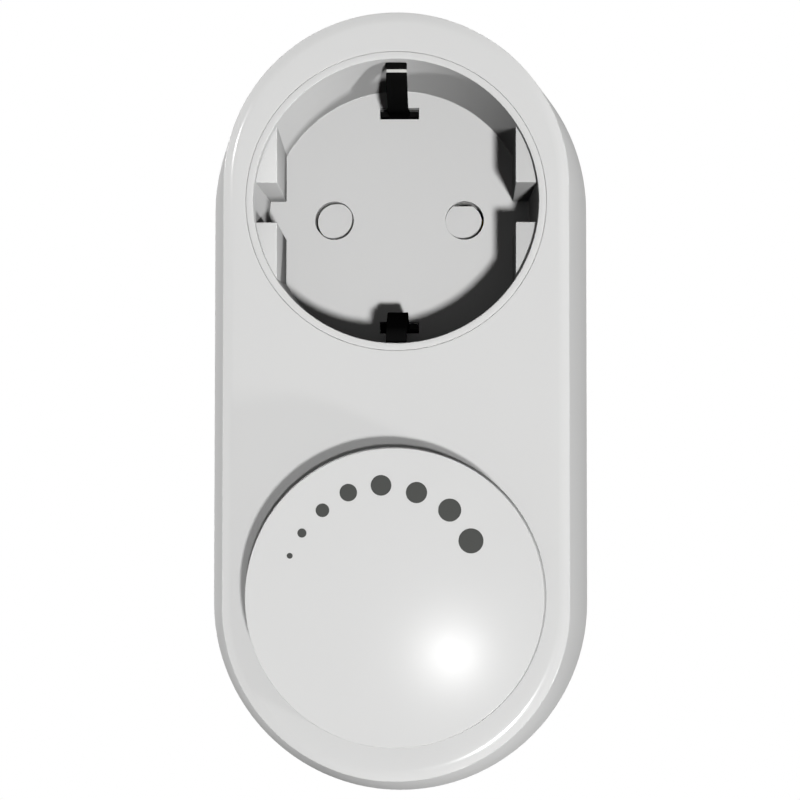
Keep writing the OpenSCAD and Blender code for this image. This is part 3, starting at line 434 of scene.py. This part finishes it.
# Shutter and its spring: a white rotary blade on the cup's post, turned back by a wound spring.
# It covers both pin holes and gives way only when two pins push at once.
SOCKET_WHITE = (0.72, 0.72, 0.715, 1)
SOCKET_SHADE = (0.695, 0.695, 0.69, 1)
SPRING_STEEL = (0.42, 0.42, 0.41, 1)
SPRING_SHADE = (0.33, 0.33, 0.32, 1)
socket_white = moulded_plastic("socket_white", SOCKET_WHITE, SOCKET_SHADE, 0.45, 0.5, gloss=0.0)
spring_steel = worked_metal("spring_steel", SPRING_STEEL, SPRING_SHADE, 0.2, 0.35, stretch=(4, 1, 4))
dress(socket_white, "shutter")
dress(spring_steel, "shutter_spring")


# Socket cup: a matt white moulding with a tapered recess, four guide ribs and a flat floor; its
# rim and the ends of the ribs are a little smoother and painted a little greyer, as painted shade
# against the wall lamp's extra light on them. It is laid into the front shell from behind and
# bears on it with the flange behind its rim.
FACE = 52.6
FLOOR = 35.1
FLOOR_BACK = 33.7
CUP_BACK = 31.3
CUP_R = 20.66
MOUTH_R = 19.66
FLOOR_R = 19.0
FLOOR_FLAT_R = 18.5
SKIRT_R = FLOOR_R + 0.05
CUP_STEPS = 160
CUP_OUTLINE = [
    (FLOOR_FLAT_R, FLOOR, 0),
    (FLOOR_R, FLOOR, 0.15),
    (MOUTH_R, FACE, 0.1),
    (CUP_R, FACE, 0.04),
    (CUP_R, CUP_BACK, 0.2),
    (SKIRT_R, CUP_BACK, 0),
    (SKIRT_R, FLOOR_BACK, 0),
]
HOLE_R = 2.8
HOLE_STEPS = 64
HOLE_OUTLINE = [(HOLE_R + 0.25, FLOOR, 0), (HOLE_R, FLOOR, 0.04), (HOLE_R, FLOOR_BACK, 0)]
SLOT_W = 5.7
SLOT_LOW = 14.85
SLOT_HIGH = 16.55
RIB_FLAT = 16.5
RIB_NOTCH = 2.75
RIB_TOP = FACE - 1.4
RIB_R = 19.9
RIB_ROOT = 0.2
RIB_STEPS = 128
RIB_EASE = 0.15
RIB_EASE_STEPS = 3
FLANGE_R = 22.56
FLANGE_ROOT_R = CUP_R - 0.3
FLANGE_BACK = 49.2
FLANGE_FRONT = 50.4
FLANGE_EASE = 0.1
FLANGE_HALF_W = 20.16
FLANGE_OUTLINE = [
    (FLANGE_ROOT_R, FLANGE_BACK, 0),
    (FLANGE_R, FLANGE_BACK, FLANGE_EASE),
    (FLANGE_R, FLANGE_FRONT, FLANGE_EASE),
    (FLANGE_ROOT_R, FLANGE_FRONT, 0),
    (FLANGE_ROOT_R, FLANGE_BACK, 0),
]
RIM_FROM = RIB_TOP - 0.01
# Painted shade: the rim and rib ends are a shade greyer than the recess to offset the wall lamp's
# light.
RIM_PAINTED_SHADE_WHITE = (0.655, 0.655, 0.65, 1)
RIM_PAINTED_SHADE_TONE = (0.635, 0.635, 0.63, 1)
NEAR = 0.0005


def near(value, target):
    """Whether two measures are the same but for rounding."""
    return abs(value - target) < NEAR


def fill_flat(bm, depth, normal):
    """Fills the flat face at a depth between its outer edge and its holes."""
    bmesh.ops.remove_doubles(bm, verts=bm.verts, dist=MERGE)
    bounds = [
        edge for edge in bm.edges
        if len(edge.link_faces) < 2 and all(near(-vert.co.y, depth) for vert in edge.verts)
    ]
    bmesh.ops.triangle_fill(bm, use_beauty=True, use_dissolve=False, edges=bounds, normal=normal)


def draw_slot(bm, low, high, half_w, top, bottom):
    """Draws the walls of a rectangular slot through a floor."""
    places = [(-half_w, low), (half_w, low), (half_w, high), (-half_w, high)]
    verts = [bm.verts.new((x, -top, z)) for x, z in places]
    edges = [bm.edges.new(pair) for pair in zip(verts, verts[1:] + verts[:1])]
    pull(bm, edges, (0, top - bottom, 0))


def trim(bm, point, normal):
    """Cuts off what stands beyond a plane and closes the cut."""
    everything = list(bm.verts) + list(bm.edges) + list(bm.faces)
    cut = bmesh.ops.bisect_plane(bm, geom=everything, plane_co=point, plane_no=normal, clear_outer=True)
    rim = [item for item in cut["geom_cut"] if isinstance(item, bmesh.types.BMEdge)]
    bmesh.ops.edgeloop_fill(bm, edges=rim)


def draw_rib():
    """One guide rib: a corner of a round block, cut by the flat and by the notch, with soft edges."""
    bm = bmesh.new()
    height = RIB_TOP - FLOOR + RIB_ROOT
    place = Matrix.Translation((0, height / 2 - RIB_TOP, 0)) @ Matrix.Rotation(math.pi / 2, 4, "X")
    bmesh.ops.create_cone(
        bm, cap_ends=True, segments=RIB_STEPS, radius1=RIB_R, radius2=RIB_R, depth=height, matrix=place,
    )
    trim(bm, (RIB_FLAT, 0, 0), (-1, 0, 0))
    trim(bm, (0, 0, RIB_NOTCH), (0, 0, -1))
    shown = [
        edge for edge in bm.edges
        if all(near(vert.co.x, RIB_FLAT) for vert in edge.verts)
        or all(near(vert.co.z, RIB_NOTCH) and near(-vert.co.y, RIB_TOP) for vert in edge.verts)
    ]
    bmesh.ops.bevel(
        bm, geom=shown, offset=RIB_EASE, offset_type="OFFSET", segments=RIB_EASE_STEPS, profile=0.5,
        affect="EDGES", material=-1,
    )
    return bm


def add_mesh(bm, other, scale):
    """Adds a bmesh to another, mirrored by a scale of 1 or -1 along each axis."""
    mesh = bpy.data.meshes.new("part_of_piece")
    other.to_mesh(mesh)
    kept = set(bm.verts)
    bm.from_mesh(mesh)
    bmesh.ops.scale(bm, vec=scale, verts=[vert for vert in bm.verts if vert not in kept])
    bpy.data.meshes.remove(mesh)


def polish(piece, material, depth):
    """Gives the faces in front of a depth a second, polished finish."""
    second = len(piece.data.materials)
    piece.data.materials.append(material)
    for face in piece.data.polygons:
        if -face.center.y > depth * MM:
            face.material_index = second


rim_white_painted_shade = moulded_plastic("rim_white_painted_shade", RIM_PAINTED_SHADE_WHITE, RIM_PAINTED_SHADE_TONE, 0.4, 0.45, gloss=0.05)
bm = bmesh.new()
turn(bm, CUP_OUTLINE, steps=CUP_STEPS)
for x in (-PIN_X, PIN_X):
    turn(bm, HOLE_OUTLINE, (x, 0), HOLE_STEPS)
for low, high in ((SLOT_LOW, SLOT_HIGH), (-SLOT_HIGH, -SLOT_LOW)):
    draw_slot(bm, low, high, SLOT_W / 2, FLOOR, FLOOR_BACK)
fill_flat(bm, FLOOR, (0, -1, 0))
fill_flat(bm, FLOOR_BACK, (0, 1, 0))
rib = draw_rib()
for across in (1, -1):
    for up in (1, -1):
        add_mesh(bm, rib, (across, 1, up))
rib.free()
flange = bmesh.new()
turn(flange, FLANGE_OUTLINE)
bmesh.ops.remove_doubles(flange, verts=flange.verts, dist=MERGE)
for side in (1, -1):
    trim(flange, (side * FLANGE_HALF_W, 0, 0), (side, 0, 0))
add_mesh(bm, flange, (1, 1, 1))
flange.free()
cup = make_piece(bm, "moulded_socket_cup", socket_white)
# The rim and rib ends get the greyer painted-shade finish.
polish(cup, rim_white_painted_shade, RIM_FROM)
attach(cup, "housing")
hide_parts("socket_cup")


# Circuit board: glass laminate with a green lacquer, shaped to the lower half of the housing.
# It is screwed to posts of the front shell and carries the dimming parts on its back.
BOARD_GREEN = (0.02, 0.11, 0.045, 1)
BOARD_SHADE = (0.03, 0.15, 0.06, 1)
board_green = moulded_plastic("board_green", BOARD_GREEN, BOARD_SHADE, 0.25, 0.4, grain=2500)
dress(board_green, "circuit_board")


# Choke: a ring core wound with lacquered copper wire, lying on the back of the board.
# It smooths the chopped current, and its two wire ends are soldered to the board.
COPPER = (0.45, 0.16, 0.06, 1)
COPPER_SHADE = (0.33, 0.1, 0.035, 1)
copper_winding = worked_metal("copper_winding", COPPER, COPPER_SHADE, 0.25, 0.4, stretch=(1, 20, 1))
dress(copper_winding, "choke")


# Capacitors: a film capacitor cast in a yellow box, and a filter capacitor, which is an aluminium
# can with a crimped neck in a dark shrunk sleeve. Both are soldered to the board.
FILM_YELLOW = (0.5, 0.3, 0.02, 1)
FILM_SHADE = (0.44, 0.25, 0.015, 1)
SLEEVE_DARK = (0.012, 0.016, 0.03, 1)
SLEEVE_SHADE = (0.02, 0.024, 0.04, 1)
film_box = moulded_plastic("film_box", FILM_YELLOW, FILM_SHADE, 0.3, 0.42)
can_sleeve = moulded_plastic("can_sleeve", SLEEVE_DARK, SLEEVE_SHADE, 0.22, 0.32)
dress(film_box, "film_capacitor")
dress(can_sleeve, "filter_capacitor")


# Fuse: a pale ceramic tube between two end caps.
# It is pressed into the two brass clips on the board, so that it can be changed.
CERAMIC = (0.6, 0.57, 0.5, 1)
CERAMIC_SHADE = (0.54, 0.51, 0.44, 1)
fuse_ceramic = moulded_plastic("fuse_ceramic", CERAMIC, CERAMIC_SHADE, 0.3, 0.45)
dress(fuse_ceramic, "fuse")


# Power transistor and heat sink: a black epoxy case that stands with its tab against an upright
# aluminium plate with fins, extruded and sawn to length.
CASE_BLACK = (0.014, 0.014, 0.014, 1)
CASE_SHADE = (0.022, 0.022, 0.022, 1)
ALUMINIUM = (0.68, 0.68, 0.69, 1)
ALUMINIUM_SHADE = (0.58, 0.58, 0.59, 1)
case_black = moulded_plastic("case_black", CASE_BLACK, CASE_SHADE, 0.4, 0.55, grain=4000)
aluminium = worked_metal("aluminium", ALUMINIUM, ALUMINIUM_SHADE, 0.3, 0.45, stretch=(1, 10, 1))
dress(case_black, "transistor")
dress(aluminium, "heat_sink")


# Inner wires: a brown one from the live pin's tail and a black one from the live contact's tag.
# Both have a soft plastic insulation and are soldered to the board.
BROWN = (0.1, 0.032, 0.014, 1)
BROWN_SHADE = (0.12, 0.04, 0.018, 1)
BLACK = (0.013, 0.013, 0.014, 1)
BLACK_SHADE = (0.02, 0.02, 0.02, 1)
brown_insulation = moulded_plastic("brown_insulation", BROWN, BROWN_SHADE, 0.3, 0.42)
black_insulation = moulded_plastic("black_insulation", BLACK, BLACK_SHADE, 0.3, 0.42)
dress(brown_insulation, "live_wire")
dress(black_insulation, "load_wire")


# Potentiometer and shaft: a zinc-plated steel case with a bush, in which the turned aluminium
# shaft runs. The shaft is flatted where the knob's hub is pushed on it.
ZINC = (0.52, 0.52, 0.5, 1)
ZINC_SHADE = (0.42, 0.42, 0.38, 1)
zinc_steel = worked_metal("zinc_steel", ZINC, ZINC_SHADE, 0.25, 0.4, stretch=(3, 1, 3))
dress(zinc_steel, "potentiometer")
dress(aluminium, "pot_shaft")


# Screws: zinc-plated steel. Four hold the board on its posts, and four longer ones go in from
# behind and hold the two shells together.
dress(zinc_steel, "board_screws", "case_screws")


# Front shell: a white moulding with matt leaning sides and a polished face that rolls off to a
# crisp edge, open for the socket and the knob's hub. It drops over the rear shell's tongue and
# takes the case screws.
TOP_Z = 2.4
BOTTOM_Z = -55.8
KNOB_Z = -54.4
JOINT = 29.0
INNER_FACE = 50.4
FACE_EDGE = FACE - 0.45
POLISHED_FROM = FACE - 0.46
FACE_FLAT_R = 21.22
ROLL_R = 22.643
FACE_EDGE_R = 23.823
JOINT_R = 27.6
JOINT_INNER_R = 25.371
FACE_INNER_R = 21.88
SHELL_OUTLINE = [
    (FACE_FLAT_R, FACE, 0),
    (ROLL_R, FACE, 0.46),
    (FACE_EDGE_R, FACE_EDGE, 0.14),
    (JOINT_R, JOINT, 0.25),
    (JOINT_INNER_R, JOINT, 0.1),
    (FACE_INNER_R, INNER_FACE, 0),
]
SOCKET_OPENING_R = 20.7
SOCKET_OPENING = [
    (SOCKET_OPENING_R + 0.28, FACE, 0),
    (SOCKET_OPENING_R, FACE, 0.04),
    (SOCKET_OPENING_R, INNER_FACE, 0),
]
HUB_OPENING_R = 5.6
HUB_OPENING = [
    (HUB_OPENING_R + 0.4, FACE, 0),
    (HUB_OPENING_R, FACE, 0.2),
    (HUB_OPENING_R, INNER_FACE, 0),
]
HUB_OPENING_STEPS = 64


def sweep_capsule(bm, corners, top, bottom, steps=96):
    """Takes an outline over the top arc, down the left side, round the bottom arc and up again."""
    edges = draw_outline(bm, corners)
    bmesh.ops.translate(bm, vec=(0, 0, top), verts=corners_of(edges))
    for centre, drop in ((top, bottom - top), (bottom, top - bottom)):
        turned = bmesh.ops.spin(
            bm, geom=corners_of(edges) + edges, cent=(0, 0, centre), axis=(0, -1, 0),
            angle=math.pi, steps=steps,
        )
        end = [item for item in turned["geom_last"] if isinstance(item, bmesh.types.BMEdge)]
        edges = pull(bm, end, (0, 0, drop))


face_white = moulded_plastic("face_white", SHELL_WHITE, SHELL_SHADE, 0.15, 0.17, gloss=0.2)
bm = bmesh.new()
sweep_capsule(bm, SHELL_OUTLINE, TOP_Z, BOTTOM_Z)
turn(bm, SOCKET_OPENING, steps=CUP_STEPS)
turn(bm, HUB_OPENING, (0, KNOB_Z), HUB_OPENING_STEPS)
fill_flat(bm, FACE, (0, -1, 0))
fill_flat(bm, INNER_FACE, (0, 1, 0))
front_shell = make_piece(bm, "moulded_front_shell", shell_white)
polish(front_shell, face_white, POLISHED_FROM)
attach(front_shell, "housing")
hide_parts("front_cover")


# Knob: a shallow white cap with a matt leaning side, a polished face and a hub, moulded in one.
# The hub passes through the front shell and is pushed on the flatted shaft.
KNOB_TOP = 58.18
KNOB_BACK = 53.1
KNOB_INNER = 56.6
KNOB_R = 20.06
KNOB_BASE_R = 20.54
KNOB_INNER_R = 18.6
KNOB_BASE_INNER_R = 18.93
HUB_R = 5.5
HUB_END = 44.3
BORE_R = 3.03
BORE_TOP = 56.2
KNOB_STEPS = 192
KNOB_FACE_FROM = KNOB_TOP - 0.0005
KNOB_OUTLINE = [
    (0, KNOB_TOP, 0),
    (KNOB_R - 0.12, KNOB_TOP, 0),
    (KNOB_R, KNOB_TOP, 0.1),
    (KNOB_BASE_R, KNOB_BACK, 0.06),
    (KNOB_BASE_INNER_R, KNOB_BACK, 0.15),
    (KNOB_INNER_R, KNOB_INNER, 0.4),
    (HUB_R, KNOB_INNER, 0.4),
    (HUB_R, HUB_END, 0.2),
    (BORE_R, HUB_END, 0.1),
    (BORE_R, BORE_TOP, 0),
    (0, BORE_TOP, 0),
]
knob_white = moulded_plastic("knob_white", SHELL_WHITE, SHELL_SHADE, 0.115, 0.13, grain=7000)
bm = bmesh.new()
turn(bm, KNOB_OUTLINE, (0, KNOB_Z), KNOB_STEPS)
knob = make_piece(bm, "moulded_knob", shell_white)
polish(knob, knob_white, KNOB_FACE_FROM)
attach(knob, "knob_unit")
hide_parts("knob")


# Level dots: grey ink, pad-printed on the knob's face, growing along an arc to show which way turns
# the light up. Each has its place across and up from the knob's axis, and its radius.
DOTS = [
    (-14.06, 5.61, 0.39),
    (-12.43, 8.66, 0.61),
    (-9.68, 11.71, 0.92),
    (-6.21, 14.08, 1.18),
    (-1.82, 15.06, 1.39),
    (2.94, 14.09, 1.43),
    (7.39, 11.73, 1.55),
    (10.24, 7.61, 1.68),
]
DOT_FACE = 58.2
DOT_STEPS = 48
INK_T = 0.03
INK_GREY = (0.078, 0.08, 0.076, 1)
INK_SHADE = (0.07, 0.072, 0.068, 1)
ink_grey = moulded_plastic("ink_grey", INK_GREY, INK_SHADE, 0.4, 0.5, grain=9000, gloss=0.05)
bm = bmesh.new()
facing_front = Matrix.Rotation(math.pi / 2, 4, "X")
for x, up, radius in DOTS:
    bmesh.ops.create_cone(
        bm, cap_ends=True, segments=DOT_STEPS, radius1=radius, radius2=radius, depth=INK_T,
        matrix=Matrix.Translation((x, INK_T / 2 - DOT_FACE, KNOB_Z + up)) @ facing_front,
    )
dots = make_piece(bm, "printed_level_dots", ink_grey)
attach(dots, "knob_unit")


# Floor and backdrop: a plain pale floor far below and a white world, both pure white to the camera
# and in reflections. To every other ray the world is a weak even fill and the floor takes shadow.
FLOOR_Z = -1.6
FLOOR_SIZE = 6.0
FLOOR_PALE = (0.8, 0.8, 0.8, 1)
FLOOR_ROUGHNESS = 0.8
WHITE = (1, 1, 1, 1)
FILL_LEVEL = 0.11


def seen_directly(tree):
    """A mask of the rays that show the background: straight, mirrored and through glass."""
    path = tree.nodes.new("ShaderNodeLightPath")
    mask = path.outputs["Is Camera Ray"]
    for label in ("Is Glossy Ray", "Is Transmission Ray"):
        either = tree.nodes.new("ShaderNodeMath")
        either.operation = "MAXIMUM"
        tree.links.new(mask, either.inputs[0])
        tree.links.new(path.outputs[label], either.inputs[1])
        mask = either.outputs["Value"]
    return mask


def show_white(tree, plain, white, end):
    """Puts a white shader in place of the plain one where the background is seen directly."""
    choose = tree.nodes.new("ShaderNodeMixShader")
    tree.links.new(seen_directly(tree), choose.inputs["Fac"])
    tree.links.new(plain, choose.inputs[1])
    tree.links.new(white, choose.inputs[2])
    tree.links.new(choose.outputs["Shader"], tree.nodes[end].inputs["Surface"])


world = bpy.data.worlds.new("white_studio")
world.use_nodes = True
bpy.context.scene.world = world
world_tree = world.node_tree
fill = world_tree.nodes["Background"]
fill.inputs["Color"].default_value = WHITE
fill.inputs["Strength"].default_value = FILL_LEVEL
backdrop = world_tree.nodes.new("ShaderNodeBackground")
backdrop.inputs["Color"].default_value = WHITE
backdrop.inputs["Strength"].default_value = 1
show_white(world_tree, fill.outputs["Background"], backdrop.outputs["Background"], "World Output")

floor_pale = bpy.data.materials.new("floor_pale")
floor_pale.use_nodes = True
floor_tree = floor_pale.node_tree
paint = floor_tree.nodes["Principled BSDF"]
paint.inputs["Base Color"].default_value = FLOOR_PALE
paint.inputs["Roughness"].default_value = FLOOR_ROUGHNESS
glow = floor_tree.nodes.new("ShaderNodeEmission")
show_white(floor_tree, paint.outputs["BSDF"], glow.outputs["Emission"], "Material Output")
bm = bmesh.new()
floor_place = Matrix.Translation((0, 0, FLOOR_Z))
bmesh.ops.create_grid(bm, x_segments=1, y_segments=1, size=FLOOR_SIZE / 2, matrix=floor_place)
mesh = bpy.data.meshes.new("floor")
bm.to_mesh(mesh)
bm.free()
mesh.materials.append(floor_pale)
floor = bpy.data.objects.new("floor", mesh)
bpy.context.scene.collection.objects.link(floor)


# Lamps: round soft lamps that point at the middle of the housing, a key low on the right in front
# and others behind the face that model the sides. The socket has two lamps of its own, for its
# deep shadow, and three small lamps give only the highlights on the shell's edge and the knob.
MIDDLE = (0, -0.05, -0.027)
LAMP_DISTANCE = 3.0
# Name, way from the middle, watts, size
FAR_LAMPS = [
    ("left_lamp", (-0.93, 0.1, 0.35), 50, 0.5),
    ("right_lamp", (0.95, 0.12, -0.28), 7.5, 0.5),
    ("top_lamp", (0.35, 0.15, 0.92), 24, 0.8),
    ("back_lamp", (-0.2, 0.9, 0.4), 66, 1.0),
    ("key_lamp", (0.2, -0.925, -0.322), 56, 0.22),
    ("front_lamp", (0.08, -0.985, -0.15), 23, 0.1),
    ("side_lamp", (0.858, -0.296, -0.42), 20, 0.3),
    ("recess_lamp", (0.165, -0.95, -0.265), 77, 0.22),
    ("wall_lamp", (0.785, -0.37, -0.495), 41, 0.3),
    ("edge_lamp", (-0.47, -0.83, 0.29), 26, 0.1),
    ("line_lamp", (0.165, -0.955, -0.25), 45, 0.12),
]
# Name, place, watts, size
NEAR_LAMPS = [
    ("bottom_lamp", (-0.35, 0.1, -1.15), 1.75, 0.3),
    ("glint_lamp", (0.0064, -0.558, -0.0879), 0.031, 0.01),
]
SHELL_LAMPS = ("key_lamp", "front_lamp", "side_lamp")
SOCKET_LAMPS = ("recess_lamp", "wall_lamp")
HIGHLIGHT_LAMPS = ("edge_lamp", "line_lamp", "glint_lamp")


def hang_lamp(name, place, watts, size):
    """Hangs a round lamp that points at the middle of the housing."""
    light = bpy.data.lights.new(name, "AREA")
    light.shape = "DISK"
    light.energy = watts
    light.size = size
    lamp = bpy.data.objects.new(name, light)
    lamp.location = place
    way = Vector(MIDDLE) - Vector(place)
    lamp.rotation_euler = way.to_track_quat("-Z", "Y").to_euler()
    bpy.context.scene.collection.objects.link(lamp)
    return lamp


lamps = {}
for name, way, watts, size in FAR_LAMPS:
    place = [middle + LAMP_DISTANCE * part for middle, part in zip(MIDDLE, way)]
    lamps[name] = hang_lamp(name, place, watts, size)
for name, place, watts, size in NEAR_LAMPS:
    lamps[name] = hang_lamp(name, place, watts, size)
lamps["front_lamp"].visible_glossy = False
for name in HIGHLIGHT_LAMPS:
    lamps[name].visible_diffuse = False
for names, state in ((SHELL_LAMPS, "EXCLUDE"), (SOCKET_LAMPS, "INCLUDE")):
    socket = bpy.data.collections.new("socket_" + state.lower())
    for piece in (cup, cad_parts["shutter"]):
        socket.objects.link(piece)
    for link in socket.collection_objects:
        link.light_linking.link_state = state
    for name in names:
        lamps[name].light_linking.receiver_collection = socket
bpy.context.scene.cycles.diffuse_bounces = 0


# Camera: a long lens straight in front of the dimmer, level with the upper half of the knob.
# It is turned a little up and to the left, and the lens is shifted for the rest of the framing.
CAMERA_PLACE = (0.00836, -0.33675, -0.04746)
CAMERA_LENS = 93.51
CAMERA_FILM = 36
CAMERA_UP = 2.1
CAMERA_LEFT = 0.65
CAMERA_SHIFT = (-0.0417, 0.0871)
CAMERA_NEAREST = 0.01
lens = bpy.data.cameras.new("camera")
lens.lens = CAMERA_LENS
lens.sensor_width = CAMERA_FILM
lens.shift_x, lens.shift_y = CAMERA_SHIFT
lens.clip_start = CAMERA_NEAREST
camera = bpy.data.objects.new("camera", lens)
camera.location = CAMERA_PLACE
camera.rotation_euler = (math.radians(90 + CAMERA_UP), 0, math.radians(CAMERA_LEFT))
bpy.context.scene.collection.objects.link(camera)
bpy.context.scene.camera = camera
bpy.context.scene.view_settings.view_transform = "Standard"


bpy.context.view_layer.update()
